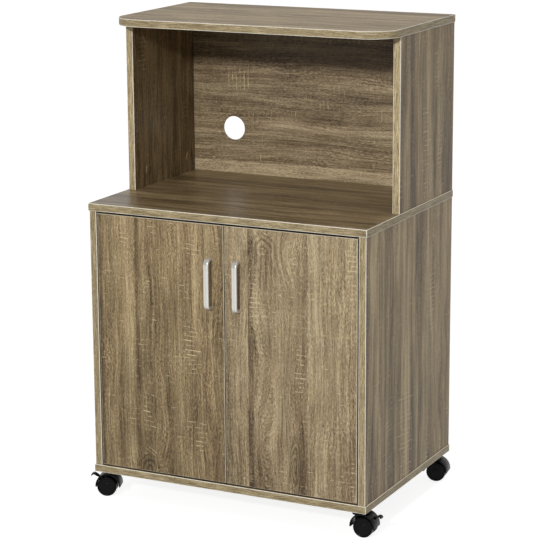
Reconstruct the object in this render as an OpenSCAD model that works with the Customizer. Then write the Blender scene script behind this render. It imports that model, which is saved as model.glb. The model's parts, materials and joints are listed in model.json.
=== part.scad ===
// Microwave cart: a two-door cabinet on casters with an open hutch above the worktop.
// Origin: centre of the overall box on the floor. +X right, +Y to the rear, +Z up.

/* [Carcass] */
// Width of the worktop, the bottom panel and the top panel
cart_w = 600; // [560:5:760]
// Depth of the worktop and the bottom panel
cart_d = 430; // [400:5:520]
// Thickness of the boards
board_t = 15; // [15:0.5:18]
// Thickness of the edge bands
band_t = 0.8; // [0.4:0.1:2]
// Clear height between the bottom panel and the worktop
cabinet_h = 524; // [460:2:640]
// How far the side panels stand back from the ends of the worktop
side_reveal = 2; // [0:0.5:4]
// How far the doors and side panels stand back from the front of the worktop
front_reveal = 2; // [0:0.5:6]

/* [Hutch] */
// Height of the hutch side panels
hutch_h = 339; // [300:1:420]
// Depth of the hutch side panels
hutch_side_d = 272; // [230:2:320]
// Depth of the top panel
top_d = 338; // [325:1:390]
// Radius of the top panel's front corners
top_corner_r = 60; // [10:1:90]

/* [Back panels] */
// Thickness of the back panels
back_t = 3; // [2.5:0.5:5]
// Distance from the rear edge to the back panels
back_inset = 15; // [10:1:25]
// Depth of the grooves that hold the back panels
groove_depth = 6; // [3:0.5:8]
// Clearance of a back panel in its groove
groove_gap = 0.2; // [0.1:0.05:0.5]
// Diameter of the cable hole
cable_hole_d = 50; // [30:1:70]
// Distance of the cable hole from the middle, to the left
cable_hole_x = 188; // [100:1:220]
// Height of the cable hole's centre above the worktop
cable_hole_z = 95.5; // [50:0.5:140]

/* [Shelf] */
// Height of the shelf's underside above the bottom panel
shelf_z = 254; // [180:2:330]
// Distance from the back of the doors to the shelf
shelf_setback = 34; // [30:1:90]
// Gap between the shelf and what is beside and behind it
shelf_gap = 1; // [0.5:0.5:3]
// Diameter of the shelf pins
shelf_pin_d = 5; // [4:0.5:7]
// Depth of the shelf pins in the side panels
shelf_pin_depth = 8; // [6:0.5:10]
// Distance between the pin holes in a row
pin_pitch = 32; // [25:1:40]

/* [Doors] */
// Gap between a door and the side panel
door_gap_side = 2.5; // [2:0.1:4]
// Gap between the two doors
door_gap_middle = 2; // [1.5:0.1:5]
// Gap between the doors and the worktop
door_gap_top = 4; // [2:0.5:6]
// Gap between the doors and the bottom panel
door_gap_bottom = 3; // [2:0.5:6]

/* [Handles] */
// Overall length of a handle
handle_len = 103; // [80:1:160]
// Width of a handle
handle_w = 11; // [8:0.5:16]
// How far a handle stands out from the door
handle_proj = 18.5; // [16:0.5:35]
// Thickness of the grip
grip_t = 5; // [4:0.5:8]
// Thickness of a handle's feet
foot_t = 7; // [6.5:0.5:12]
// Outer radius of a handle's corners
handle_r = 10; // [4:0.5:13]
// Distance from the meeting edge of the door to the handle's centre line
handle_from_edge = 29.5; // [20:0.5:60]
// Distance from the top of the door to the middle of the handle
handle_drop = 116; // [95:0.5:180]
// Diameter of the handle screws
handle_screw_d = 4; // [3:0.5:5]

/* [Hinges] */
// Distance from the ends of the door to the hinge centres
hinge_inset = 90; // [70:1:120]
// Diameter of the hinge cup
cup_d = 35; // [34:0.5:36]
// Depth of the cup bore in the door
cup_depth = 12; // [11.5:0.1:12.5]
// Distance from the edge of the door to the cup bore
cup_edge = 5; // [4.5:0.1:6]
// Distance from the edge of the door to the hinge pin
pin_edge = 12; // [11.5:0.1:13]
// Distance from the front of the door to the hinge pin
pin_in = 6.4; // [6.3:0.1:6.6]
// Diameter of the hinge pin
hinge_pin_d = 2.5; // [2:0.1:2.8]
// Width of the hinge arm
arm_w = 12; // [8:0.5:14]
// Thickness of the hinge arm
arm_t = 2.2; // [1.6:0.1:2.4]

/* [Joinery] */
// Diameter of the cam locks
cam_d = 15; // [12:0.5:16]
// Depth of the cam locks in the boards
cam_depth = 12; // [11:0.5:13]
// Distance from the end of a board to the cam's centre
cam_offset = 33; // [24:0.5:36]
// Diameter of the covers on the cam locks
cover_d = 20; // [17:0.5:24]
// Thickness of the covers
cover_t = 0.6; // [0.4:0.1:1]
// Diameter of the dowels
dowel_d = 8; // [6:0.5:10]
// Length of the dowels
dowel_len = 30; // [24:1:40]

/* [Casters] */
// Overall height of a caster
caster_h = 54; // [53:0.5:64]
// Distance from the side of the bottom panel to the swivel axis
caster_inset_x = 30; // [28:1:60]
// Distance from the front or rear of the bottom panel to the swivel axis
caster_inset_y = 32; // [28:1:60]
// Diameter of the wheels
wheel_d = 40; // [36:0.5:41]
// Width of one wheel
wheel_w = 10.5; // [8:0.5:14]
// Space between the two wheels of a caster
wheel_space = 13; // [12.5:0.5:16]
// Distance from the swivel axis to the axle
trail = 16; // [14:0.5:18]
// Diameter of the axle
axle_d = 5; // [4:0.5:6]
// Diameter of the swivel pin
kingpin_d = 7; // [5:0.5:8]
// Side of the square caster plate
plate_side = 40; // [36:1:50]
// Thickness of the caster plate
plate_t = 2; // [1.5:0.5:3]
// Width of the brake lever
lever_w = 11; // [8:0.5:11]

/* [Hidden] */
$fn = 64;

cut = 1;          // how far a cutting shape reaches past a face
fit_gap = 0.05;   // radial clearance of a screw or dowel
press_gap = 0.02; // radial clearance of a pin that is pressed in
turn_gap = 0.05;  // radial clearance of a pin that turns

// Levels
floor_z = caster_h + board_t;
deck_z = floor_z + cabinet_h;
counter_z = deck_z + board_t;
roof_z = counter_z + hutch_h;

// Planes from front to rear
front_y = -(cart_d + front_reveal - handle_proj) / 2;
rear_y = front_y + cart_d;
door_y = front_y + front_reveal;
hutch_y = rear_y - hutch_side_d;
top_y = rear_y - top_d;
back_y = rear_y - back_inset - back_t;

// Inner faces of the side panels, and the middle of their thickness
inner_x = cart_w / 2 - side_reveal - board_t;
middle_x = inner_x + board_t / 2;

// Colours
face_tan = [0.55, 0.46, 0.35];
face_taupe = [0.47, 0.43, 0.37];
face_dark = [0.40, 0.33, 0.26];
band_olive = [0.59, 0.53, 0.37];
steel = [0.78, 0.78, 0.76];
satin_silver = [0.82, 0.82, 0.80];
black = [0.10, 0.10, 0.10];
beech = [0.80, 0.66, 0.46];

// ---------------------------------------------------------------- general helpers

// A drill along +Z from a point, reaching back past its mouth
module drill(at, r, depth) translate(at - [0, 0, cut]) cylinder(h = depth + cut, r = r);

// A drill along any direction: dir is the direction in which it goes in
module drill_along(at, dir, r, depth) {
    tilt = acos(dir[2] / norm(dir));
    spin = atan2(dir[1], dir[0]);
    translate(at) rotate([0, tilt, spin]) translate([0, 0, -cut]) cylinder(h = depth + cut, r = r);
}

// A rod along any direction
module rod_along(at, dir, r, len) {
    tilt = acos(dir[2] / norm(dir));
    spin = atan2(dir[1], dir[0]);
    translate(at) rotate([0, tilt, spin]) cylinder(h = len, r = r);
}

function unit(v) = v / norm(v);
function left_of(v) = [-v[1], v[0]];

// Mitred normal of a path at point i
function corner_normal(path, i) =
    let (last = len(path) - 1,
         before = i > 0 ? unit(path[i] - path[i - 1]) : unit(path[1] - path[0]),
         after = i < last ? unit(path[i + 1] - path[i]) : before,
         middle = unit(left_of(before) + left_of(after)))
    middle / (middle * left_of(before));

// Outline of a strip of thickness t along a path
function strip_outline(path, t) =
    let (last = len(path) - 1)
    concat([for (i = [0 : last]) path[i] + corner_normal(path, i) * t / 2],
           [for (i = [last : -1 : 0]) path[i] - corner_normal(path, i) * t / 2]);

function arc(centre, r, from, to, steps) =
    [for (i = [0 : steps])
        let (a = from + (to - from) * i / steps)
        centre + r * [cos(a), sin(a)]];

// ---------------------------------------------------------------- boards

// Outline of a flat board centred on X, front edge at y = 0, drawn in by inset all round
module board_outline(w, d, r, inset) {
    corner = max(r - inset, 0);
    width = w - 2 * inset;
    if (corner > 0) {
        translate([-width / 2, inset + corner]) square([width, d - 2 * inset - corner]);
        translate([-width / 2 + corner, inset]) square([width - 2 * corner, corner + cut]);
        for (side = [-1, 1])
            translate([side * (width / 2 - corner), inset + corner]) circle(r = corner);
    } else {
        translate([-width / 2, inset]) square([width, d - 2 * inset]);
    }
}

// The core of a flat board, inside its edge band
module board_core(w, d, r, y, z)
    translate([0, y, z]) linear_extrude(board_t) board_outline(w, d, r, band_t);

// The edge band round a flat board
module board_band(w, d, r, y, z)
    translate([0, y, z]) linear_extrude(board_t) difference() {
        board_outline(w, d, r, 0);
        board_outline(w, d, r, band_t);
    }

// An upright board on the right (side = 1) or left (side = -1), behind its front band
module upright_core(side, front, z, h)
    translate([side > 0 ? inner_x : -inner_x - board_t, front + band_t, z])
        cube([board_t, rear_y - front - band_t, h]);

module upright_band(side, front, z, h)
    translate([side > 0 ? inner_x : -inner_x - board_t, front, z]) cube([board_t, band_t, h]);

// The groove for a back panel in the inner face of an upright
module back_groove(side, z, h)
    translate([side > 0 ? inner_x - cut : -inner_x - groove_depth, back_y - groove_gap, z - cut])
        cube([groove_depth + cut, back_t + 2 * groove_gap, h + 2 * cut]);

// ---------------------------------------------------------------- joinery

cam_gap = 0.1;         // radial clearance of a cam lock in its pocket
bolt_r = 3;            // cam bolt, in the panel
bolt_in_panel = 10;    // depth of a cam bolt in the panel
bolt_neck_r = 2;       // cam bolt, where the cam grips it
bolt_head_r = 3.4;
bolt_head_len = 3;
bolt_hole_r = 4;       // hole for the cam bolt in the end of the board
bolt_spare = 0.5;      // spare depth of the cam's hole past the bolt's head
cam_slot = [9, 1.4];   // screwdriver cross of a cam lock
cam_slot_depth = 2.5;
dowel_in_panel = 11;   // depth of a dowel in the panel it meets square on
dowel_gap = 0.5;       // spare depth of a dowel's hole

// Distances of the joints from the front and rear edges of the upright boards
cabinet_cam_in = 60;
cabinet_dowel_in = 110;
hutch_cam_in = [54, 46];      // from the front, from the rear
hutch_dowel_in = [100, 90];
cabinet_cam_y = [door_y + cabinet_cam_in, rear_y - cabinet_cam_in];
cabinet_dowel_y = [door_y + cabinet_dowel_in, rear_y - cabinet_dowel_in];
hutch_cam_y = [hutch_y + hutch_cam_in[0], rear_y - hutch_cam_in[1]];
hutch_dowel_y = [hutch_y + hutch_dowel_in[0], rear_y - hutch_dowel_in[1]];

// Every cam joint: [side, y, z of the joint, +1 where the panel is above the board's end]
CAM_JOINTS = concat(
    [for (side = [-1, 1], y = cabinet_cam_y) [side, y, floor_z, -1]],
    [for (side = [-1, 1], y = cabinet_cam_y) [side, y, deck_z, 1]],
    [for (side = [-1, 1], y = hutch_cam_y) [side, y, counter_z, -1]],
    [for (side = [-1, 1], y = hutch_cam_y) [side, y, roof_z, 1]]);
DOWEL_JOINTS = concat(
    [for (side = [-1, 1], y = cabinet_dowel_y) [side, y, floor_z, -1]],
    [for (side = [-1, 1], y = cabinet_dowel_y) [side, y, deck_z, 1]],
    [for (side = [-1, 1], y = hutch_dowel_y) [side, y, counter_z, -1]],
    [for (side = [-1, 1], y = hutch_dowel_y) [side, y, roof_z, 1]]);

// Everything that is cut from the boards for cams, cam bolts and dowels
module joinery_cuts() {
    for (j = CAM_JOINTS) {
        into_panel = [0, 0, j[3]];
        cam_at = [j[0] * inner_x, j[1], j[2] - j[3] * cam_offset];
        drill_along(cam_at, [j[0], 0, 0], cam_d / 2 + cam_gap, cam_depth);
        rod_along([j[0] * middle_x, j[1], j[2]], -into_panel, bolt_hole_r, cam_offset);
        rod_along([j[0] * middle_x, j[1], j[2]], into_panel, bolt_r + fit_gap, bolt_in_panel);
    }
    for (j = DOWEL_JOINTS) {
        into_panel = [0, 0, j[3]];
        at = [j[0] * middle_x, j[1], j[2]];
        in_board = dowel_len - dowel_in_panel + dowel_gap;
        rod_along(at, into_panel, dowel_d / 2 + fit_gap, dowel_in_panel + dowel_gap);
        rod_along(at, -into_panel, dowel_d / 2 + fit_gap, in_board);
    }
}

module cam_locks() color(steel)
    for (j = CAM_JOINTS) {
        centre = [j[0] * inner_x, j[1], j[2] - j[3] * cam_offset];
        difference() {
            rod_along(centre, [j[0], 0, 0], cam_d / 2, cam_depth);
            rod_along([j[0] * middle_x, j[1], j[2]], [0, 0, -j[3]],
                      bolt_hole_r, cam_offset + bolt_head_len + bolt_spare);
            translate(centre) for (turn = [0, 90]) rotate([turn + 45, 0, 0])
                cube([2 * cam_slot_depth, cam_slot[0], cam_slot[1]], center = true);
        }
    }

module cam_bolts() color(steel)
    for (j = CAM_JOINTS) {
        at = [j[0] * middle_x, j[1], j[2]];
        rod_along(at, [0, 0, j[3]], bolt_r, bolt_in_panel);
        rod_along(at, [0, 0, -j[3]], bolt_neck_r, cam_offset);
        rod_along(at - [0, 0, j[3] * (cam_offset - bolt_head_len)], [0, 0, -j[3]],
                  bolt_head_r, 2 * bolt_head_len);
    }

module dowels() color(beech)
    for (j = DOWEL_JOINTS)
        rod_along([j[0] * middle_x, j[1], j[2] + j[3] * dowel_in_panel], [0, 0, -j[3]],
                  dowel_d / 2, dowel_len);

// A thin round cover lies over each cam lock
module cam_covers() color(face_taupe)
    for (j = CAM_JOINTS)
        rod_along([j[0] * inner_x, j[1], j[2] - j[3] * cam_offset], [-j[0], 0, 0],
                  cover_d / 2, cover_t);

// ---------------------------------------------------------------- carcass

module top_panel() color(face_taupe) difference() {
    board_core(cart_w, top_d, top_corner_r, top_y, roof_z);
    joinery_cuts();
}

module worktop() color(face_dark) difference() {
    board_core(cart_w, cart_d, 0, front_y, deck_z);
    joinery_cuts();
}

module bottom_panel() color(face_dark) difference() {
    board_core(cart_w, cart_d, 0, front_y, caster_h);
    joinery_cuts();
    caster_screw_cuts();
}

module side_panel(side) color(face_taupe) difference() {
    upright_core(side, door_y, floor_z, cabinet_h);
    joinery_cuts();
    back_groove(side, floor_z, cabinet_h);
    shelf_pin_cuts();
    hinge_plate_cuts();
}

module hutch_side(side) color(face_taupe) difference() {
    upright_core(side, hutch_y, counter_z, hutch_h);
    joinery_cuts();
    back_groove(side, counter_z, hutch_h);
}

back_w = 2 * (inner_x + groove_depth - groove_gap);

module hutch_back() color(face_tan) difference() {
    translate([-back_w / 2, back_y, counter_z]) cube([back_w, back_t, hutch_h]);
    drill_along([-cable_hole_x, back_y, counter_z + cable_hole_z], [0, 1, 0],
                cable_hole_d / 2, back_t + cut);
}

module cabinet_back() color(face_tan)
    translate([-back_w / 2, back_y, floor_z]) cube([back_w, back_t, cabinet_h]);

module panel_edge_bands() color(band_olive) {
    board_band(cart_w, top_d, top_corner_r, top_y, roof_z);
    board_band(cart_w, cart_d, 0, front_y, deck_z);
    board_band(cart_w, cart_d, 0, front_y, caster_h);
}

module front_edge_bands() color(band_olive) {
    for (side = [-1, 1]) {
        upright_band(side, door_y, floor_z, cabinet_h);
        upright_band(side, hutch_y, counter_z, hutch_h);
    }
    translate([-shelf_w / 2, shelf_y, floor_z + shelf_z]) cube([shelf_w, band_t, board_t]);
}

// ---------------------------------------------------------------- shelf

shelf_w = 2 * (inner_x - shelf_gap);
shelf_y = door_y + board_t + shelf_setback;
pin_tab = [12, 9, 2];      // length, width and thickness of a shelf pin's tab
pin_hole_spare = 1;        // spare depth of a pin hole
pin_rows = [-1, 0, 1];     // pin holes above and below the ones in use
shelf_pin_in = 50;         // distance of the pins from the front of the shelf and from the back panel
shelf_pin_y = [shelf_y + shelf_pin_in, back_y - shelf_pin_in];
shelf_pin_z = floor_z + shelf_z - pin_tab[2] / 2;

module shelf() color(face_taupe)
    translate([-shelf_w / 2, shelf_y + band_t, floor_z + shelf_z])
        cube([shelf_w, back_y - shelf_gap - shelf_y - band_t, board_t]);

module shelf_pins() color(steel)
    for (side = [-1, 1], y = shelf_pin_y) {
        tab_x = side > 0 ? inner_x - pin_tab[0] : -inner_x;
        rod_along([side * inner_x, y, shelf_pin_z], [side, 0, 0], shelf_pin_d / 2, shelf_pin_depth);
        translate([tab_x, y - pin_tab[1] / 2, floor_z + shelf_z - pin_tab[2]]) cube(pin_tab);
    }

module shelf_pin_cuts()
    for (side = [-1, 1], y = shelf_pin_y, row = pin_rows)
        drill_along([side * inner_x, y, shelf_pin_z + row * pin_pitch], [side, 0, 0],
                    shelf_pin_d / 2 + fit_gap, shelf_pin_depth + pin_hole_spare);

// ---------------------------------------------------------------- doors
// A door is drawn on the left, with u from the side panel's inner face and v from the door's front.

door_z = floor_z + door_gap_bottom;
door_h = cabinet_h - door_gap_bottom - door_gap_top;
door_w = inner_x - door_gap_side - door_gap_middle / 2;
hinge_z = [door_z + hinge_inset, door_z + door_h - hinge_inset];
handle_u = door_gap_side + door_w - handle_from_edge;
handle_z = door_z + door_h - handle_drop;
handle_hole_z = [for (end = [-1, 1]) handle_z + end * (handle_len - foot_t) / 2];

module on_side(side)
    mirror([side > 0 ? 1 : 0, 0, 0]) translate([-inner_x, door_y, 0]) children();

// A slab as wide and high as the door less an inset, and deeper by extra on both faces
module door_slab(inset, extra) translate([door_gap_side + inset, -extra, door_z + inset])
    cube([door_w - 2 * inset, board_t + 2 * extra, door_h - 2 * inset]);

module door(side) color(face_tan) on_side(side) difference() {
    door_slab(band_t, 0);
    for (z = hinge_z) {
        drill_along([cup_u, board_t, z], [0, -1, 0], cup_d / 2, cup_depth);
        for (end = [-1, 1])
            drill_along([cup_u, board_t, z + end * cup_screw_z], [0, -1, 0],
                        cup_screw_r + fit_gap, cup_screw_len);
    }
    for (z = handle_hole_z)
        drill_along([handle_u, 0, z], [0, 1, 0], handle_screw_d / 2 + fit_gap, board_t + cut);
}

module door_edge_band(side) color(band_olive) on_side(side) difference() {
    door_slab(0, 0);
    door_slab(band_t, cut);
}

// ---------------------------------------------------------------- handles

handle_screw_head = [4, 2.2];   // radius and height
handle_screw_grip = 9;          // length of the screw in the handle
handle_hole_depth = 10;

handle_inner_r = max(handle_r - grip_t, 1);

// A slab whose two front corners are rounded: front is its X, half its half length along Y
module round_front(front, half, r) {
    translate([front + r, -half]) square([-front - r, 2 * half]);
    translate([front, -half + r]) square([r + cut, 2 * (half - r)]);
    for (end = [-1, 1]) translate([front + r, end * (half - r)]) circle(r = r);
}

// Outline of a handle: X is the distance behind the door's front, Y runs along the handle
module handle_outline() difference() {
    intersection() {
        round_front(-handle_proj, handle_len / 2, handle_r);
        translate([-handle_proj, -handle_len / 2]) square([handle_proj, handle_len]);
    }
    round_front(-handle_proj + grip_t, handle_len / 2 - foot_t, handle_inner_r);
    translate([-cut, -handle_len / 2 + foot_t]) square([2 * cut, handle_len - 2 * foot_t]);
}

module handle(side) color(satin_silver) on_side(side) difference() {
    translate([handle_u - handle_w / 2, 0, handle_z]) rotate([90, 0, 90])
        linear_extrude(handle_w) handle_outline();
    for (z = handle_hole_z)
        drill_along([handle_u, 0, z], [0, -1, 0], handle_screw_d / 2 + fit_gap, handle_hole_depth);
}

module handle_screws(side) color(steel) on_side(side)
    for (z = handle_hole_z) {
        rod_along([handle_u, board_t, z], [0, -1, 0], handle_screw_d / 2, board_t + handle_screw_grip);
        rod_along([handle_u, board_t, z], [0, 1, 0], handle_screw_head[0], handle_screw_head[1]);
    }

// ---------------------------------------------------------------- hinges

cup_u = door_gap_side + cup_edge + cup_d / 2;
pin_u = door_gap_side + pin_edge;
cup_wall = 0.8;
cup_flange_t = 1;
cup_rim = 2;                // width of the flange round the cup
cup_flange_r = cup_d / 2 + cup_rim;
cup_ear = [13, 58];         // width and length of the flange's ears
cup_screw_z = 24;           // distance of the cup screws from the cup's centre
cup_screw_r = 1.7;
cup_screw_len = 11;
cup_screw_head = [3.4, 1.6];
knuckle_r = 2.3;
plate_h = 2.5;              // thickness of the hinge plate on the side panel
plate_foot = [40, 14];      // length and width of the hinge plate
plate_wing = [12, 46];      // width and length of its wings
plate_screw_z = 16;
plate_screw_head = [3.4, 1.8];
plate_screw_len = 11;
arm_screw_r = 2.2;
arm_screw_head = [3.6, 1.8];
arm_reach = 12.3;           // how far the arm stands inwards of the pin, inside the cup
arm_drop = 0.6;             // how far the arm's first stretch lies in front of the pin
arm_shoulder = [8.3, 18];   // where the arm turns out over the edge of the cup, from the pin
arm_bridge = [-2, 21];      // where it crosses behind the pin
arm_landing = 3;            // how far past the front of its plate it comes to lie on it
arm_screw_back = 12;        // distance of its screw from the rear of the plate
plate_start = 26;           // distance from the pin to the hinge plate, to the rear
arm_seat_u = plate_h + arm_t / 2;

// Centre line of the arm: from the pin out of the cup, round the edge of the open door, to the plate
arm_path = [
    [pin_u, pin_in - arm_drop],
    [pin_u + arm_reach, pin_in - arm_drop],
    [pin_u + arm_reach, pin_in + arm_reach],
    [pin_u, pin_in] + arm_shoulder,
    [pin_u, pin_in] + arm_bridge,
    [arm_seat_u, pin_in + plate_start + arm_landing],
    [arm_seat_u, pin_in + plate_start + plate_foot[0]]
];
plate_v = pin_in + plate_start + plate_foot[0] / 2;
arm_screw_v = pin_in + plate_start + plate_foot[0] - arm_screw_back;

module hinge_cup(side, z) color(steel) on_side(side) difference() {
    translate([cup_u, board_t, z]) rotate([90, 0, 0]) {
        cylinder(h = cup_depth, r = cup_d / 2 - fit_gap);
        translate([0, 0, -cup_flange_t]) cylinder(h = cup_flange_t, r = cup_flange_r);
        translate([-cup_ear[0] / 2, -cup_ear[1] / 2, -cup_flange_t]) cube([cup_ear[0], cup_ear[1], cup_flange_t]);
    }
    drill_along([cup_u, board_t + cup_flange_t, z], [0, -1, 0],
                cup_d / 2 - cup_wall, cup_depth - cup_wall + cup_flange_t);
    rod_along([pin_u, pin_in, z - cup_d / 2], [0, 0, 1], hinge_pin_d / 2 + press_gap, cup_d);
    for (end = [-1, 1])
        drill_along([cup_u, board_t + cup_flange_t, z + end * cup_screw_z], [0, -1, 0],
                    cup_screw_r + fit_gap, cup_flange_t + cut);
}

// The ends of a hinge pin are trimmed to the curve of its cup
module hinge_pins(side) color(steel) on_side(side)
    for (z = hinge_z) intersection() {
        translate([pin_u, pin_in, z - cup_d / 2]) cylinder(h = cup_d, r = hinge_pin_d / 2);
        translate([cup_u, board_t, z]) rotate([90, 0, 0]) cylinder(h = cup_depth, r = cup_d / 2 - 2 * fit_gap);
    }

module cup_screws(side) color(steel) on_side(side)
    for (z = hinge_z, end = [-1, 1]) {
        at = [cup_u, board_t + cup_flange_t, z + end * cup_screw_z];
        rod_along(at, [0, -1, 0], cup_screw_r, cup_screw_len);
        rod_along(at, [0, 1, 0], cup_screw_head[0], cup_screw_head[1]);
    }

module hinge_arms(side) color(steel) on_side(side)
    for (z = hinge_z) difference() {
        translate([0, 0, z - arm_w / 2]) {
            linear_extrude(arm_w) polygon(strip_outline(arm_path, arm_t));
            translate([pin_u, pin_in, 0]) cylinder(h = arm_w, r = knuckle_r);
        }
        translate([pin_u, pin_in, z - arm_w]) cylinder(h = 2 * arm_w, r = hinge_pin_d / 2 + turn_gap);
        drill_along([plate_h + arm_t, arm_screw_v, z], [-1, 0, 0], arm_screw_r + fit_gap, arm_t + cut);
    }

module hinge_plates() color(steel)
    for (side = [-1, 1], z = hinge_z) on_side(side) difference() {
        union() {
            translate([0, plate_v - plate_foot[0] / 2, z - plate_foot[1] / 2])
                cube([plate_h, plate_foot[0], plate_foot[1]]);
            translate([0, plate_v - plate_wing[0] / 2, z - plate_wing[1] / 2])
                cube([plate_h, plate_wing[0], plate_wing[1]]);
        }
        for (end = [-1, 1])
            drill_along([plate_h, plate_v, z + end * plate_screw_z], [-1, 0, 0],
                        cup_screw_r + fit_gap, plate_h + cut);
        drill_along([plate_h, arm_screw_v, z], [-1, 0, 0], arm_screw_r + fit_gap, plate_h + cut);
    }

module hinge_plate_screws() color(steel)
    for (side = [-1, 1], z = hinge_z) on_side(side) {
        for (end = [-1, 1]) {
            at = [plate_h, plate_v, z + end * plate_screw_z];
            rod_along(at, [-1, 0, 0], cup_screw_r, plate_h + plate_screw_len);
            rod_along(at, [1, 0, 0], plate_screw_head[0], plate_screw_head[1]);
        }
        rod_along([plate_h + arm_t, arm_screw_v, z], [-1, 0, 0], arm_screw_r, arm_t + plate_h);
        rod_along([plate_h + arm_t, arm_screw_v, z], [1, 0, 0], arm_screw_head[0], arm_screw_head[1]);
    }

module hinge_plate_cuts()
    for (side = [-1, 1], z = hinge_z, end = [-1, 1]) on_side(side)
        drill_along([0, plate_v, z + end * plate_screw_z], [-1, 0, 0],
                    cup_screw_r + fit_gap, plate_screw_len + fit_gap);

// ---------------------------------------------------------------- casters
// A caster is drawn with its swivel axis on Z, the floor at z = 0 and its axle towards +X.

// Every caster: [side, +1 at the front, angle of the trail from +X, with a brake,
// side of the middle plane on which its fore wheel lies]
CASTERS = [
    [-1, 1, 199.5, true, 1],
    [1, 1, 2, true, -1],
    [-1, -1, 172, false, 1],
    [1, -1, 8, false, -1]
];
FRONT_LEFT = 0;
FRONT_RIGHT = 1;
REAR_LEFT = 2;
REAR_RIGHT = 3;

wheel_r = wheel_d / 2;
plate_z = caster_h - plate_t;
plate_hole_in = 6;                     // distance of the screw holes from the plate's edges
plate_hole = plate_side / 2 - plate_hole_in;
caster_screw_r = 2;
caster_screw_len = 13;
caster_screw_head = [3.5, 1.8];
hood_centre = [trail - 2, wheel_r + 1.5];
hood_r = wheel_r + 5.5;
hood_t = 2.5;
hood_drop = 2.4;                       // how far the hood reaches below its centre
hood_w = wheel_space + 2 * wheel_w - 2;
web_t = 6;
web_back = 1.2;                        // how far the web's edges stand back from the bosses' sides
boss_r = wheel_space / 2 - 0.8;
boss_z = wheel_r + 7;
kingpin_low = boss_z + 4;
kingpin_end_gap = 1;                   // space under the swivel pin
turret_r = 11;
turret_z = wheel_d + 1.5;
swivel_gap = 0.5;                      // space between the turret and the plate
side_gap = 0.4;                        // gap between a wheel and the axle boss
axle_boss_r = 5;
axle_end = 1.2;                        // thickness of the wheel's face over the axle's end
brake_pin = [trail + 13, wheel_r + 14];
brake_pin_r = 1.25;
lever_hub_r = 2.6;
lever_hub_w = 8;
lever_t = 2.6;
lever_neck = 8.5;                      // length of the narrow part, from the pin to the tab
lever_slope = 31;                      // slope of the lever where it leaves the hood
lever_hook = [trail + 28.7, wheel_r + 17.7];
lever_hook_r = 5;
lever_hook_from = 127;
lever_hook_to = 15;
lever_hook_steps = 6;
cheek_t = 1.8;
cheek_gap = 0.3;
pawl_reach = 6.5;
pawl_t = 3;
pawl_angle = 225;

module at_caster(c)
    translate([c[0] * (cart_w / 2 - caster_inset_x),
               c[1] > 0 ? front_y + caster_inset_y : rear_y - caster_inset_y, 0])
        rotate([0, 0, c[2]]) children();

// Stands a drawing of X and Z up, centred on the caster's middle plane
module upright(w) translate([0, w / 2, 0]) rotate([90, 0, 0]) linear_extrude(w) children();

// A rod across the caster through a point of X and Z
module cross_rod(at, r, len) translate([at[0], len / 2, at[1]]) rotate([90, 0, 0]) cylinder(h = len, r = r);

module plate_corners() for (x = [-plate_hole, plate_hole], y = [-plate_hole, plate_hole])
    translate([x, y, 0]) children();

// Plates lie square to the cart, so the turn of the caster is left out
module at_plate(c) translate([c[0] * (cart_w / 2 - caster_inset_x),
                              c[1] > 0 ? front_y + caster_inset_y : rear_y - caster_inset_y, 0]) children();

module caster_plates() color(steel)
    for (c = CASTERS) at_plate(c) difference() {
        union() {
            translate([-plate_side / 2, -plate_side / 2, plate_z]) cube([plate_side, plate_side, plate_t]);
            translate([0, 0, kingpin_low]) cylinder(h = plate_z - kingpin_low + plate_t / 2, r = kingpin_d / 2);
        }
        plate_corners() drill([0, 0, plate_z], caster_screw_r + fit_gap, plate_t + cut);
    }

module caster_screws() color(steel)
    for (c = CASTERS) at_plate(c) plate_corners() {
        translate([0, 0, plate_z]) cylinder(h = plate_t + caster_screw_len, r = caster_screw_r);
        translate([0, 0, plate_z - caster_screw_head[1]])
            cylinder(h = caster_screw_head[1], r = caster_screw_head[0]);
    }

module caster_screw_cuts()
    for (c = CASTERS) at_plate(c) plate_corners()
        drill([0, 0, caster_h], caster_screw_r + fit_gap, caster_screw_len + fit_gap);

module hood_disc(r) translate(hood_centre) circle(r = r);

// Everything above the lower edge of the hood
module above_hood_edge() translate([hood_centre[0] - hood_r - cut, hood_centre[1] - hood_drop])
    square([2 * (hood_r + cut), hood_r + hood_drop + cut]);

module hood_shell() upright(hood_w) intersection() {
    difference() {
        hood_disc(hood_r);
        hood_disc(hood_r - hood_t);
    }
    above_hood_edge();
}

// The web joins the bosses and the hood, and stops short of the brake lever where there is one
module hood_web(braked) upright(web_t) intersection() {
    hood_disc(hood_r - hood_t / 2);
    translate([-boss_r, wheel_r - axle_boss_r] + [web_back, web_back])
        square([boss_r + trail + (braked ? axle_boss_r : hood_r) - 2 * web_back, 2 * hood_r]);
}

module lever_cheeks() for (end = [-1, 1])
    translate([0, end * (lever_hub_w / 2 + cheek_gap + cheek_t / 2), 0]) upright(cheek_t) intersection() {
        hood_disc(hood_r - hood_t / 2);
        translate(brake_pin - [lever_hub_r + 2, lever_hub_r + 1]) square(hood_r);
    }

module caster_hood(index) color(black) {
    c = CASTERS[index];
    braked = c[3];
    at_caster(c) difference() {
        union() {
            hood_shell();
            hood_web(braked);
            translate([0, 0, boss_z]) cylinder(h = plate_z - swivel_gap - boss_z, r = boss_r);
            translate([0, 0, turret_z]) cylinder(h = plate_z - swivel_gap - turret_z, r = turret_r);
            cross_rod([trail, wheel_r], axle_boss_r, wheel_space - 2 * side_gap);
            if (braked) lever_cheeks();
        }
        translate([0, 0, kingpin_low - kingpin_end_gap]) cylinder(h = plate_z, r = kingpin_d / 2 + turn_gap);
        cross_rod([trail, wheel_r], axle_d / 2 + press_gap, 2 * wheel_space);
        if (braked) {
            cross_rod(brake_pin, brake_pin_r + press_gap, 2 * wheel_space);
            lever_slot();
        }
    }
}

// The slot in the hood that lets the lever out and down
slot_up = 2.2;
slot_down = 3.8;
slot_len = 12;

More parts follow.
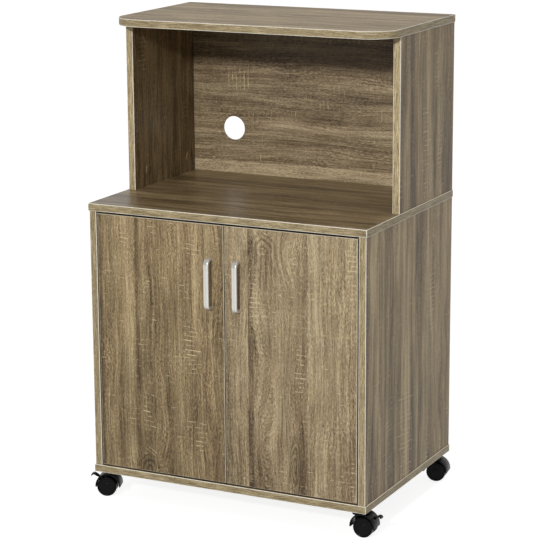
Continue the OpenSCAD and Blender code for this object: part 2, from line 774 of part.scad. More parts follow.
module lever_slot() translate([brake_pin[0], 0, brake_pin[1]]) rotate([0, -lever_slope, 0])
    translate([0, -lever_hub_w / 2 - cheek_gap, -slot_down])
        cube([slot_len, lever_hub_w + 2 * cheek_gap, slot_down + slot_up]);

module caster_axle(index) color(steel) at_caster(CASTERS[index])
    cross_rod([trail, wheel_r], axle_d / 2, wheel_space + 2 * (wheel_w - axle_end - fit_gap));

// Half section of a wheel: radius against distance from its inner face
wheel_edge = 1.2;
wheel_rim = 3;
wheel_dish = 0.9;
wheel_hollow = 4.5;
wheel_hub_r = 5.5;
wheel_section = [
    [axle_d / 2 + turn_gap, 0],
    [wheel_hub_r, 0],
    [wheel_hub_r, wheel_hollow],
    [wheel_r - wheel_rim - wheel_edge, wheel_hollow],
    [wheel_r - wheel_rim, 0],
    [wheel_r - wheel_edge, 0],
    [wheel_r, wheel_edge],
    [wheel_r, wheel_w - wheel_edge],
    [wheel_r - wheel_edge, wheel_w],
    [wheel_r - wheel_rim, wheel_w],
    [wheel_r - wheel_rim - wheel_dish, wheel_w - wheel_dish],
    [0, wheel_w - wheel_dish / 3],
    [0, wheel_w - axle_end],
    [axle_d / 2 + turn_gap, wheel_w - axle_end]
];

// place = 1 for the fore wheel of the caster, -1 for the aft wheel
module caster_wheel(index, place) color(black) {
    end = place * CASTERS[index][4];
    at_caster(CASTERS[index]) translate([trail, end * wheel_space / 2, wheel_r])
        rotate([-end * 90, 0, 0]) rotate_extrude($fn = 96) polygon(wheel_section);
}

// The lever leaves the hood along a slope and ends in a hook over its edge
neck_end = brake_pin + lever_neck * [cos(lever_slope), sin(lever_slope)];
hook_path = concat([neck_end],
    arc(lever_hook, lever_hook_r, lever_hook_from, lever_hook_to, lever_hook_steps));
pawl_tip = brake_pin + pawl_reach * [cos(pawl_angle), sin(pawl_angle)];

module brake_lever(index) color(black) at_caster(CASTERS[index]) difference() {
    union() {
        upright(lever_w) polygon(strip_outline(hook_path, lever_t));
        upright(lever_hub_w) {
            polygon(strip_outline([pawl_tip, brake_pin], pawl_t));
            polygon(strip_outline([brake_pin, neck_end + unit(neck_end - brake_pin)], lever_t));
            translate(brake_pin) circle(r = lever_hub_r);
        }
    }
    cross_rod(brake_pin, brake_pin_r + turn_gap, 2 * wheel_space);
}

module brake_lever_pin(index) color(steel) at_caster(CASTERS[index])
    cross_rod(brake_pin, brake_pin_r, lever_hub_w + 2 * (cheek_gap + cheek_t));

// ---------------------------------------------------------------- nodes

top_panel();
worktop();
bottom_panel();
side_panel(-1);  // left_side_panel
side_panel(1);  // right_side_panel
hutch_side(-1);  // left_hutch_side
hutch_side(1);  // right_hutch_side
hutch_back();
cabinet_back();
shelf();
panel_edge_bands();
front_edge_bands();
shelf_pins();
cam_locks();
cam_bolts();
dowels();
cam_covers();
door(-1);  // left_door
door_edge_band(-1);  // left_door_edge_band
handle(-1);  // left_handle
handle_screws(-1);  // left_handle_screws
door(1);  // right_door
door_edge_band(1);  // right_door_edge_band
handle(1);  // right_handle
handle_screws(1);  // right_handle_screws
hinge_cup(-1, hinge_z[0]);  // left_lower_hinge_cup
hinge_cup(-1, hinge_z[1]);  // left_upper_hinge_cup
hinge_cup(1, hinge_z[0]);  // right_lower_hinge_cup
hinge_cup(1, hinge_z[1]);  // right_upper_hinge_cup
hinge_pins(-1);  // left_hinge_pins
hinge_pins(1);  // right_hinge_pins
hinge_arms(-1);  // left_hinge_arms
hinge_arms(1);  // right_hinge_arms
hinge_plates();
hinge_plate_screws();
cup_screws(-1);  // left_cup_screws
cup_screws(1);  // right_cup_screws
caster_plates();
caster_screws();
caster_hood(FRONT_LEFT);  // front_left_caster_hood
caster_hood(FRONT_RIGHT);  // front_right_caster_hood
caster_hood(REAR_LEFT);  // rear_left_caster_hood
caster_hood(REAR_RIGHT);  // rear_right_caster_hood
caster_axle(FRONT_LEFT);  // front_left_axle
caster_axle(FRONT_RIGHT);  // front_right_axle
caster_axle(REAR_LEFT);  // rear_left_axle
caster_axle(REAR_RIGHT);  // rear_right_axle
caster_wheel(FRONT_LEFT, 1);  // front_left_fore_wheel
caster_wheel(FRONT_LEFT, -1);  // front_left_aft_wheel
caster_wheel(FRONT_RIGHT, 1);  // front_right_fore_wheel
caster_wheel(FRONT_RIGHT, -1);  // front_right_aft_wheel
caster_wheel(REAR_LEFT, 1);  // rear_left_fore_wheel
caster_wheel(REAR_LEFT, -1);  // rear_left_aft_wheel
caster_wheel(REAR_RIGHT, 1);  // rear_right_fore_wheel
caster_wheel(REAR_RIGHT, -1);  // rear_right_aft_wheel
brake_lever(FRONT_LEFT);  // front_left_brake_lever
brake_lever(FRONT_RIGHT);  // front_right_brake_lever
brake_lever_pin(FRONT_LEFT);  // front_left_brake_pin
brake_lever_pin(FRONT_RIGHT);  // front_right_brake_pin
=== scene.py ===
"""Looks of the microwave cart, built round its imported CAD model.

The camera, the floor and the lamps are in metres. The node expressions, the tables and the points of the
pieces are in millimetres.
"""

import json
import math

import bmesh
import bpy
from mathutils import Matrix, Vector

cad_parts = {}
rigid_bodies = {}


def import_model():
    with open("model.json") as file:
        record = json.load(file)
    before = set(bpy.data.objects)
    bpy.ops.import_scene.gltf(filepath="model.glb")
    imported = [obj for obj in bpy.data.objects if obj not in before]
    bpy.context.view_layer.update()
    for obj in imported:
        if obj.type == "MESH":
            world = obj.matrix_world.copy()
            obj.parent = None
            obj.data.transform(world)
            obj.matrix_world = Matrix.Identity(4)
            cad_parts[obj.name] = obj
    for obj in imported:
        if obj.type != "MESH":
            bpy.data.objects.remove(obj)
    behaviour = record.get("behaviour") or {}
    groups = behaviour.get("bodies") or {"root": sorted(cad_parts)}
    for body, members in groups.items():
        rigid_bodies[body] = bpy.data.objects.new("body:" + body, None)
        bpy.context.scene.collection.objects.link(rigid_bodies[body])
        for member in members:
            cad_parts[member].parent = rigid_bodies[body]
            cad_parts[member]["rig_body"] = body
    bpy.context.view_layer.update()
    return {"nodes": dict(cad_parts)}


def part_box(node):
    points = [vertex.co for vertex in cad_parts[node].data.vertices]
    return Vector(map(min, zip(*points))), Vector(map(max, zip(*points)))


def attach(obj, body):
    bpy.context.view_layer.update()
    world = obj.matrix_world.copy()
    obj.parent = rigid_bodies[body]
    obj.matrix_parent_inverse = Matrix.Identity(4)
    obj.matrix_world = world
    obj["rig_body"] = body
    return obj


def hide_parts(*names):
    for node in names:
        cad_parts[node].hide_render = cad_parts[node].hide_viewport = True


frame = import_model()
nodes = frame["nodes"]
MM = 0.001
X, Y, Z = 0, 1, 2


# ---------------------------------------------------------------- camera


def add_camera():
    """The camera that was fitted to the photograph."""
    azimuth, elevation, roll = (math.radians(a) for a in (26.532, 13.236, -0.347))
    target = Vector((0.0, -0.00675, 0.46003))
    distance = 4.187677
    back = Vector(
        (
            math.sin(azimuth) * math.cos(elevation),
            -math.cos(azimuth) * math.cos(elevation),
            math.sin(elevation),
        )
    )
    level = Vector((math.cos(azimuth), math.sin(azimuth), 0.0))
    above = back.cross(level)
    right = level * math.cos(roll) + above * math.sin(roll)
    up = above * math.cos(roll) - level * math.sin(roll)
    data = bpy.data.cameras.new("camera")
    data.sensor_width = 36.0
    data.lens = 139.249
    data.clip_end = 50.0
    camera = bpy.data.objects.new("camera", data)
    bpy.context.scene.collection.objects.link(camera)
    turn = Matrix((right, up, back)).transposed().to_4x4()
    camera.matrix_world = Matrix.Translation(target + back * distance) @ turn
    bpy.context.scene.camera = camera


add_camera()


# ---------------------------------------------------------------- node expressions


class Value:
    """A number in a material's node tree that takes part in arithmetic."""

    def __init__(self, tree, socket):
        self.tree = tree
        self.socket = socket

    def __add__(self, other):
        return self.tree.math("ADD", self, other)

    def __sub__(self, other):
        return self.tree.math("SUBTRACT", self, other)

    def __rsub__(self, other):
        return self.tree.math("SUBTRACT", other, self)

    def __mul__(self, other):
        return self.tree.math("MULTIPLY", self, other)

    def __truediv__(self, other):
        return self.tree.math("DIVIDE", self, other)

    __radd__ = __add__
    __rmul__ = __mul__


class Tree:
    """A material's node tree, with short calls for what the surfaces below need."""

    def __init__(self, name):
        self.material = bpy.data.materials.new(name)
        self.material.use_nodes = True
        self.nodes = self.material.node_tree.nodes
        self.links = self.material.node_tree.links
        self.nodes.clear()
        self.output = self.nodes.new("ShaderNodeOutputMaterial")
        self.shader = self.nodes.new("ShaderNodeBsdfPrincipled")
        self.links.new(self.shader.outputs[0], self.output.inputs["Surface"])

    def put(self, socket, value):
        """Links a socket to what the value comes from, or gives it the constant."""
        if isinstance(value, Value):
            self.links.new(value.socket, socket)
        elif isinstance(value, bpy.types.NodeSocket):
            self.links.new(value, socket)
        else:
            socket.default_value = value

    def math(self, operation, *values):
        node = self.nodes.new("ShaderNodeMath")
        node.operation = operation
        for socket, value in zip(node.inputs, values):
            self.put(socket, value)
        return Value(self, node.outputs[0])

    def coordinates(self, kind):
        where = self.nodes.new("ShaderNodeTexCoord")
        split = self.nodes.new("ShaderNodeSeparateXYZ")
        self.links.new(where.outputs[kind], split.inputs[0])
        return [Value(self, s) for s in split.outputs]

    def position(self):
        """Object coordinates in millimetres."""
        return [v * (1.0 / MM) for v in self.coordinates("Object")]

    def normal(self):
        """The face's own direction, in object coordinates."""
        return self.coordinates("Normal")

    def vector(self, x, y, z):
        node = self.nodes.new("ShaderNodeCombineXYZ")
        for socket, value in zip(node.inputs, (x, y, z)):
            self.put(socket, value)
        return node.outputs[0]

    def noise(self, x, y, z, detail=2.0, rough=0.5):
        node = self.nodes.new("ShaderNodeTexNoise")
        self.links.new(self.vector(x, y, z), node.inputs["Vector"])
        node.inputs["Scale"].default_value = 1.0
        node.inputs["Detail"].default_value = detail
        node.inputs["Roughness"].default_value = rough
        return Value(self, node.outputs[0])

    def random(self, x):
        """A number of 0 to 1 for each x, without a pattern."""
        node = self.nodes.new("ShaderNodeTexWhiteNoise")
        node.noise_dimensions = "1D"
        self.put(node.inputs["W"], x)
        return Value(self, node.outputs[0])

    def ramp(self, x, low, high, to_low=0.0, to_high=1.0):
        """A smooth step of x from low to high."""
        node = self.nodes.new("ShaderNodeMapRange")
        node.interpolation_type = "SMOOTHSTEP"
        for socket, value in zip(node.inputs, (x, low, high, to_low, to_high)):
            self.put(socket, value)
        return Value(self, node.outputs[0])

    def window(self, x, low, high, soft):
        """1 between low and high, falling to 0 over soft on both sides."""
        rise = self.ramp(x, low - soft, low + soft)
        fall = self.ramp(x, high - soft, high + soft)
        return rise * (1.0 - fall)

    def constant(self, colour):
        """An sRGB colour of 0 to 255."""
        node = self.nodes.new("ShaderNodeRGB")
        node.outputs[0].default_value = (*linear(colour), 1.0)
        return node.outputs[0]

    def colours(self, x, places, tones):
        """The colour at x between sRGB tones, each at its place."""
        node = self.nodes.new("ShaderNodeValToRGB")
        ramp = node.color_ramp
        while len(ramp.elements) < len(tones):
            ramp.elements.new(0.5)
        for element, place, tone in zip(ramp.elements, places, tones):
            element.position = place
            element.color = (*linear(tone), 1.0)
        self.put(node.inputs[0], x)
        return node.outputs[0]

    def mix(self, factor, a, b, blend="MIX"):
        """Mixes b into a. b is a socket or a tuple of linear light."""
        node = self.nodes.new("ShaderNodeMix")
        node.data_type = "RGBA"
        node.blend_type = blend
        self.put(node.inputs[0], factor)
        self.put(node.inputs[6], a)
        self.put(node.inputs[7], (*b, 1.0) if isinstance(b, tuple) else b)
        return node.outputs[2]

    def grade(self, colour, brightness):
        """Multiplies a colour by a number."""
        node = self.nodes.new("ShaderNodeVectorMath")
        node.operation = "SCALE"
        self.put(node.inputs[0], colour)
        self.put(node.inputs["Scale"], brightness)
        return node.outputs[0]

    def bump(self, height, depth_mm, strength):
        node = self.nodes.new("ShaderNodeBump")
        node.inputs["Strength"].default_value = strength
        node.inputs["Distance"].default_value = depth_mm * MM
        self.put(node.inputs["Height"], height)
        self.links.new(node.outputs[0], self.shader.inputs["Normal"])

    def finish(self, colour, roughness, **constants):
        """Gives the shader its colour, roughness and constants, and returns the material."""
        self.put(self.shader.inputs["Base Color"], colour)
        self.put(self.shader.inputs["Roughness"], roughness)
        for name, value in constants.items():
            self.shader.inputs[name.replace("_", " ")].default_value = value
        return self.material


def linear(colour):
    """An sRGB colour of 0 to 255 as linear light."""
    shares = [c / 255 for c in colour]
    return tuple(c / 12.92 if c <= 0.04045 else ((c + 0.055) / 1.055) ** 2.4 for c in shares)


# ---------------------------------------------------------------- wood print

STAVE_MM = 124.0
# Place along the grain at which a print's rise, which is painted light, changes nothing
PAINTED_RISE_FROM_MM = 330.0
# Pitch of the saw's dashes, in the clusters and where they are scattered
CLUSTER_STEP_MM = 9.2
SCATTER_STEP_MM = 11.0
# Strength at which the clusters of dashes count in full
SAW_FULL = 0.6

# Tones of the print, from its dark lines to its light ones
TAN = ((68, 53, 35), (108, 90, 63), (140, 119, 87), (168, 147, 111), (204, 182, 140))
TAUPE = ((78, 62, 42), (115, 96, 68), (149, 127, 92), (176, 154, 117), (208, 187, 147))
TAN_PALE = ((68, 54, 38), (110, 92, 68), (142, 123, 94), (171, 151, 119), (206, 186, 149))
BROWN = ((72, 58, 42), (110, 92, 69), (139, 121, 94), (168, 149, 119), (204, 184, 148))
TONE_PLACES = (0.02, 0.28, 0.5, 0.72, 1.0)
CHIPBOARD = ((150, 124, 88), (186, 160, 122), (206, 184, 148), (220, 202, 170))
CHIP_PLACES = (0.3, 0.45, 0.58, 0.75)
DASH = (220, 200, 158)
# What the greyer stretches of the print are multiplied by, as linear light
GREYER = (0.88, 0.93, 0.93)

# Layers of streaks, from wide to fine: size across and along the grain, step of the seed, detail and
# roughness of the noise
LAYERS = {
    "wide": (26.0, 800.0, 1.0, 1.0, 0.5),
    "band": (11.0, 300.0, 1.5, 1.0, 0.5),
    "middle": (5.5, 150.0, 2.0, 2.0, 0.6),
    "thread": (2.6, 170.0, 2.5, 1.0, 0.6),
    "streak": (2.0, 48.0, 3.0, 2.0, 0.6),
    "tick": (1.25, 6.5, 4.0, 1.0, 0.6),
    "speck": (1.1, 2.7, 4.5, 1.0, 0.6),
}


def grain_lines(t, c, a, mark):
    """Dark lines of one arch or lens in the grain, and how far they push the grain aside."""
    kind, kc, ka, half_c, half_a, strength = mark
    u = (c - kc) / half_c
    v = (a - ka) / half_a
    rise = t.math("MAXIMUM", v, 0.0) if kind == "arch" else v
    r = t.math("SQRT", u * u + rise * rise)
    wobble = t.noise(a / 16.0, c / 11.0, ka * 0.01, 2.0)
    lines = t.math("SINE", r * 19.0 + wobble * 8.0) * 0.5 + 0.5
    reach = t.ramp(r, 1.2, 0.55)
    if kind == "arch":
        reach = reach * t.ramp(v, -2.6, -1.2)
    near = t.math("EXPONENT", (u * u + v * v) * -0.9)
    return lines * reach * strength, u * near * (half_c * 0.6)


def saw_marks(t, c, a, seed, cluster):
    """A ladder of short pale dashes across the grain, each of its own length."""
    c0, c1, a0, a1, slant = cluster
    sa = a + (c - (c0 + c1) / 2.0) * slant + t.noise(c / 30.0, a / 60.0, seed, 0.0) * 4.0
    step = sa / CLUSTER_STEP_MM
    row = t.math("FLOOR", step)
    inset = t.random(row + c0) * ((c1 - c0) * 0.45)
    outset = t.random(row + c1) * ((c1 - c0) * 0.45)
    line = t.window(step - row, 0.40, 0.56, 0.08)
    across = t.ramp(c - inset, c0 - 2.0, c0 + 4.0) * t.ramp(c + outset, c1 + 2.0, c1 - 4.0)
    worn = t.ramp(t.noise(c / 5.0, a / 3.0, seed + 1.0, 1.0), 0.36, 0.52)
    return line * across * worn * t.window(sa, a0, a1, 4.0) * (t.random(row + a0) * 0.9 + 0.3)


def scattered_dashes(t, c, a, s):
    """Short pale dashes across the grain, here and there on the board."""
    pitch = a / SCATTER_STEP_MM + t.noise(c / 60.0, a / 70.0, s + 8.0, 0.0) * 0.8
    dash = t.window(pitch - t.math("FLOOR", pitch), 0.42, 0.54, 0.08)
    broken = t.ramp(t.noise(c / 9.0, a / 5.0, s + 9.0, 1.0), 0.46, 0.62)
    blotch = t.noise(c / 24.0, a / 40.0, s + 10.0, 1.0)
    return dash * broken * t.ramp(blotch, 0.56, 0.66)


def print_tone(t, c, a, line, layer, own, broad, fine):
    """How much lighter or darker the print is at each place within a stave."""
    cloud = t.noise(c / 42.0, a / 110.0, own + 1.2, 1.0)
    patch = t.noise(c / 55.0, a / 120.0, own + 6.0, 1.0)
    rippled = t.ramp(patch, 0.48, 0.66)
    ripple = t.math("SINE", line / 1.9 + t.noise(c / 36.0, a / 90.0, own, 1.0) * 26.0)
    return (
        (layer["wide"] - 0.5) * (0.56 * broad)
        + (cloud - 0.5) * 0.36
        + (layer["band"] - 0.5) * (0.20 * broad + 0.16)
        + (layer["middle"] - 0.5) * 0.42
        + (layer["thread"] - 0.5) * 0.50
        + (layer["streak"] - 0.5) * 0.80
        + (layer["tick"] - 0.5) * (rippled * 0.5 + 0.90) * fine
        + (layer["speck"] - 0.5) * (0.52 * fine)
        + ripple * rippled * 0.05
    )


def wood(name, tones, along, across, seed, shift_mm=0.0, level=0.0, marks=(), saws=(), stripes=(), saw=0.6,
         rough=0.42, rear=None, broad=1.0, fine=1.0, stave_mm=STAVE_MM, rise=0.0, shine=0.28):
    """Printed oak. along and across are the axes of the grain and of the board's width.
    marks: (arch or lens, across, along, half width, half length, strength);
    saws: (across from, to, along from, to, slant);
    stripes: (across from, to, brightness), and for a short one also (along from, to).
    level is how much lighter the whole print is, and rise how much lighter it gets along one metre: painted
    light, which makes the doors and side panels lighter towards the top, as if more light fell there.
    broad and fine weigh the wide streaks and the pores. saw is the strength of the saw's dashes.
    rear is the direction of a face that isn't printed."""
    t = Tree(name)
    p = t.position()
    a, c = p[along], p[across]
    through = X + Y + Z - along - across
    s = seed * 31.7
    stave = (c + shift_mm) / stave_mm
    cell = t.math("FLOOR", stave)
    within = (stave - cell) * stave_mm
    own = t.math("FLOOR", p[through] / 40.0) * 5.3 + cell * 13.7 + s
    # the grain wanders, more in some staves, and bends round its arches
    lively = t.random(cell + s + 3.0)
    drift = t.noise(a / 240.0, c / 70.0, own, 1.0) - 0.5
    waver = t.noise(a / 64.0, c / 26.0, own + 5.0, 1.0) - 0.5
    line = c + drift * (lively * 64.0 + 12.0) + waver * (lively * 10.0 + 2.0)
    dark = []
    for mark in marks:
        lines, push = grain_lines(t, c, a, mark)
        line = line + push
        dark.append(lines)
    layer = {
        key: t.noise(line / size_across, a / size_along, own + step, detail, roughness)
        for key, (size_across, size_along, step, detail, roughness) in LAYERS.items()
    }
    tone = print_tone(t, c, a, line, layer, own, broad, fine) + (t.random(cell + s) - 0.5) * 0.09
    # staves meet at a sharp line with a shade beside it, and are lighter from just short of STAVE_MM on
    joint = t.window(within, 0.0, 1.6, 0.6)
    shade = t.ramp(within, 22.0, 1.0) * t.random(cell + s + 9.0)
    light = t.ramp(within, STAVE_MM - 26.0, STAVE_MM - 4.0) * t.random(cell + s + 12.0)
    tone = tone - joint * 0.16 - shade * 0.10 + light * 0.07 - sum(dark)
    for low, high, lift, *reach in stripes:
        stripe = t.window(c + waver * 4.0, low, high, 2.0)
        if reach:
            stripe = stripe * t.window(a, *reach, 36.0)
        tone = tone + stripe * lift
    # painted light: rise makes the print lighter along the grain, towards the top of the doors and side
    # panels
    tone = tone + (a - PAINTED_RISE_FROM_MM) * (rise * MM) + (0.5 + level)
    colour = t.colours(tone, TONE_PLACES, tones)
    # some stretches are greyer and greener than others
    cast = t.noise(line / 44.0, a / 420.0, own + 7.0, 1.0)
    colour = t.mix(t.ramp(cast, 0.46, 0.62, 0.0, 0.42), colour, GREYER, "MULTIPLY")
    pale = scattered_dashes(t, c, a, s) * saw
    for cluster in saws:
        pale = pale + saw_marks(t, c, a, s + 11.0, cluster) * (saw / SAW_FULL)
    colour = t.mix(t.math("MINIMUM", pale, 0.9), colour, linear(DASH))
    # where a board isn't printed its chips show
    n = t.normal()
    raw = 1.0 - t.ramp(t.math("ABSOLUTE", n[through]), 0.5, 0.7)
    if rear is not None:
        raw = t.math("MAXIMUM", raw, t.ramp(n[through] * rear, 0.5, 0.7))
    chips = t.noise(p[X] / 2.4, p[Y] / 2.4, p[Z] / 2.4, 2.0, 0.7)
    colour = t.mix(raw, colour, t.colours(chips, CHIP_PLACES, CHIPBOARD))
    tick, streak = layer["tick"], layer["streak"]
    t.bump(tick * 0.5 + streak * 0.3 - joint * 0.4 + raw * chips, 0.25, 0.6)
    return t.finish(colour, tick * 0.16 + (rough - 0.08) + raw * 0.3, Specular_IOR_Level=shine)


# ---------------------------------------------------------------- strips, metal and plastic

OLIVE = ((100, 84, 58), (140, 123, 90), (168, 151, 115), (202, 186, 150))
OLIVE_PLACES = (0.12, 0.4, 0.58, 0.88)


def band_print(name, direction, seed, painted_gap_shade=False, painted_light_to_right=0.0):
    """The plastic strip on the boards' edges: fine wavy lines along it. direction says which of X, Y and Z
    the strip runs along. With the gap shade on, shade is painted onto what faces up or aside in a narrow
    gap.
    The lift towards +X is painted light: it lightens the strips towards +X, where more light falls on them,
    and also lightens those above the worktop."""
    t = Tree(name)
    p = t.position()
    along = p[X] * direction[X] + p[Y] * direction[Y] + p[Z] * direction[Z]
    c = p[X] * (1 - direction[X]) + p[Y] * (1 - direction[Y]) + p[Z] * (1 - direction[Z])
    wave = t.noise(along / 16.0, c / 9.0, seed, 1.0) - 0.5
    line = c + wave * 4.4
    lines = t.noise(line / 1.5, along / 34.0, seed + 1.0, 2.0, 0.6)
    ticks = t.noise(line / 0.9, along / 6.0, seed + 2.0, 1.0)
    broad = t.noise(along / 60.0, c / 8.0, seed + 3.0, 1.0)
    tone = (lines - 0.5) * 1.5 + (ticks - 0.5) * 0.7 + (broad - 0.5) * 0.4 + 0.5
    colour = t.colours(tone, OLIVE_PLACES, OLIVE)
    # painted light: the strips get lighter towards +X, where more light falls on them, and those above the
    # worktop are made lighter as well
    if painted_light_to_right:
        painted_light_rightward = t.ramp(p[X], -300.0, 300.0, 1.0, 1.0 + painted_light_to_right)
        above = t.ramp(p[Z], 600.0, 610.0) * 0.22
        colour = t.grade(colour, painted_light_rightward + above)
    # painted shade: what faces up or aside in a narrow gap gets darker the more closely the gap closes
    # round it
    if painted_gap_shade:
        gap = t.nodes.new("ShaderNodeAmbientOcclusion")
        gap.inputs["Distance"].default_value = 12.0 * MM
        open_way = t.math("POWER", Value(t, gap.outputs["AO"]), 2.0)
        n = t.normal()
        up = t.ramp(n[Z], 0.5, 0.8)
        aside = t.ramp(t.math("ABSOLUTE", n[X]), 0.5, 0.8) * 0.75
        colour = t.grade(colour, 1.0 - (up + aside) * (1.0 - open_way))
    t.bump(lines, 0.1, 0.5)
    return t.finish(colour, 0.42 + ticks * 0.12, Specular_IOR_Level=0.4)


def mottled(name, colour):
    """One colour with a faint mottle: the trimmed corners of the strips, which show the lighter plastic
    under the print and, as a painted highlight, are whiter still where their rounded edges catch the light;
    and the plain wood of the dowels."""
    t = Tree(name)
    p = t.position()
    mottle = t.noise(p[X] / 6.0, p[Y] / 6.0, p[Z] / 6.0, 2.0)
    shade = t.ramp(mottle, 0.25, 0.75, 0.86, 1.08)
    t.bump(mottle, 0.08, 0.4)
    return t.finish(t.grade(t.constant(colour), shade), 0.34 + mottle * 0.12, Specular_IOR_Level=0.5)


def metal(name, colour, roughness, brushed, metallic=1.0, painted_spine=None):
    """Plated or satin metal. brushed gives the length of its fine lines along X, Y and Z.
    spine is the distance from X = 0 of a darker line down the middle of a strap: painted shade, for the
    shading across its face."""
    t = Tree(name)
    p = t.position()
    lines = t.noise(p[X] / brushed[X], p[Y] / brushed[Y], p[Z] / brushed[Z], 3.0, 0.6)
    cloud = t.noise(p[X] / 18.0, p[Y] / 18.0, p[Z] / 18.0, 2.0)
    shade = t.ramp(lines, 0.2, 0.8, 0.92, 1.06)
    # painted shade: a darker line down the middle of the strap
    if painted_spine is not None:
        shade = shade - t.window(t.math("ABSOLUTE", p[X]), painted_spine - 1.2, painted_spine + 1.8, 0.9) * 0.13
    t.bump(lines, 0.04, 0.5)
    base = t.grade(t.constant(colour), shade)
    return t.finish(base, cloud * 0.12 + (roughness - 0.06), Metallic=metallic)


def plastic(name, colour, roughness, shine):
    """Moulded plastic with a fine spark-eroded grain and slightly rubbed raised places."""
    t = Tree(name)
    p = t.position()
    grain = t.noise(p[X] / 0.5, p[Y] / 0.5, p[Z] / 0.5, 2.0, 0.6)
    cloud = t.noise(p[X] / 9.0, p[Y] / 9.0, p[Z] / 9.0, 3.0)
    worn = t.ramp(cloud, 0.3, 0.8, 0.9, 1.35)
    t.bump(grain, 0.03, 0.4)
    base = t.grade(t.constant(colour), worn)
    return t.finish(base, grain * 0.10 + (roughness - 0.05), Specular_IOR_Level=shine)


# ---------------------------------------------------------------- materials

# Where each board's arches and lenses (MARKS), clusters of dashes (SAWS) and stripes (STRIPES) lie
MARKS_LEFT = (
    ("arch", -172.0, 78.0, 26.0, 34.0, 0.34),
    ("arch", -60.0, 300.0, 22.0, 90.0, 0.12),
    ("lens", -118.0, 150.0, 14.0, 60.0, 0.12),
)
MARKS_RIGHT = (
    ("arch", 84.0, 548.0, 32.0, 40.0, 0.30),
    ("lens", 151.0, 128.0, 13.0, 66.0, 0.34),
    ("arch", 128.0, 250.0, 24.0, 80.0, 0.10),
)
SAWS_LEFT = (
    (-254, -206, 548, 572, 0.1),
    (-236, -206, 536, 552, 0.1),
    (-92, -46, 526, 566, 0.06),
    (-96, -46, 322, 388, 0.05),
    (-88, -50, 284, 322, -0.12),
    (-70, -40, 126, 190, 0.0),
    (-192, -152, 158, 240, 0.16),
    (-190, -150, 110, 126, 0.7),
)
SAWS_RIGHT = (
    (258, 281, 470, 580, 0.0),
    (52, 76, 410, 500, 0.0),
    (148, 178, 280, 376, 0.0),
    (266, 281, 70, 160, 0.0),
    (78, 96, 560, 590, 0.5),
)
STRIPES_LEFT = (
    (-284, -273, -0.24), (-226, -200, 0.09), (-197, -189, -0.16), (-262, -246, -0.05),
    (-186, -146, 0.07, 240.0, 640.0), (-72, -48, 0.08),
)
STRIPES_RIGHT = (
    (-3, 50, -0.11), (52, 62, -0.12), (70, 118, -0.12, 40.0, 190.0), (158, 194, -0.16, 40.0, 230.0),
    (164, 174, -0.10), (176, 198, 0.07), (206, 284, 0.06, 200.0, 640.0), (236, 262, 0.05),
    (272, 278, -0.10),
)
SAWS_SIDE = (
    (99, 140, 346, 461, 0.0),
    (-54, 31, 60, 245, 0.1),
    (-120, -79, 106, 208, -0.3),
    (194, 231, 126, 160, 0.0),
    (92, 119, 69, 128, 0.2),
)
SAWS_HUTCH_RIGHT = (
    (59, 110, 676, 796, 0.0),
    (66, 90, 612, 667, 0.0),
    (119, 150, 830, 900, 0.0),
    (132, 172, 666, 720, 0.0),
)
SAWS_HUTCH_LEFT = (
    (-30, 12, 846, 925, 0.05),
    (150, 176, 700, 760, 0.0),
)
SAWS_BACK = (
    (783, 838, -204, -150, 0.0),
    (750, 776, 14, 42, 0.0),
    (728, 752, -56, -36, 0.0),
    (736, 762, 140, 160, 0.0),
    (636, 655, -142, -110, 0.0),
    (617, 644, 97, 118, 0.0),
)
STRIPES_SIDE = (
    (-137, -100, -0.05), (-92, -88, -0.12), (-70, -40, -0.01), (-36, 10, 0.13), (14, 19, -0.12),
    (24, 56, 0.06), (64, 92, -0.05), (102, 134, -0.06), (160, 200, -0.03),
)
STRIPES_HUTCH = (
    (-44, -26, -0.05), (-22, -4, 0.08), (4, 26, -0.06), (30, 40, -0.12), (62, 98, 0.09), (128, 158, -0.08),
    (174, 180, 0.08), (196, 212, -0.05),
)
# the stripe from 812 to 960 is painted shade: it darkens the upper back panel under the top, where its
# shadow falls; the other stripes are print
STRIPES_AND_PAINTED_SHADE_BACK = (
    (604, 634, 0.34), (640, 664, 0.02), (676, 700, 0.04), (706, 726, 0.05), (736, 744, -0.04),
    (752, 771, -0.09), (774, 812, -0.05), (812, 960, -0.12), (850, 868, -0.04),
)
MARKS_BACK = (
    ("lens", 900.0, 10.0, 70.0, 330.0, 0.16),
    ("lens", 745.0, 20.0, 22.0, 90.0, 0.14),
    ("lens", 690.0, 30.0, 26.0, 80.0, 0.06),
)

mat_door_left = wood(
    "oak_door_left", TAN, Z, X, 1.0, 197.0, -0.03, MARKS_LEFT, SAWS_LEFT, STRIPES_LEFT, 0.74, rise=0.28,
)
# painted light: the right door's level of 0.13, against the left door's -0.03, lightens its print as if
# more light fell on the right
mat_door_right = wood(
    "oak_door_right", TAN_PALE, Z, X, 2.0, 197.0, 0.13, MARKS_RIGHT, SAWS_RIGHT, STRIPES_RIGHT, 0.74,
    rise=0.26,
)
mat_side = wood(
    "oak_side", TAUPE, Z, Y, 3.0, 20.0, 0.08, saws=SAWS_SIDE, stripes=STRIPES_SIDE, saw=0.66, broad=3.0,
    fine=0.7, rise=0.28, shine=0.2,
)
# painted shade: level -0.17 darkens this board's print for the dim inside of the hutch
mat_hutch_left_painted_shade = wood(
    "oak_hutch_left_painted_shade", TAUPE, Z, Y, 10.0, 60.0, -0.17, saws=SAWS_HUTCH_LEFT, saw=0.3, fine=0.7, shine=0.2,
)
mat_hutch_right = wood(
    "oak_hutch_right", TAUPE, Z, Y, 4.0, 60.0, -0.03, saws=SAWS_HUTCH_RIGHT, stripes=STRIPES_HUTCH,
    saw=0.68, broad=2.2, fine=0.7, shine=0.2,
)
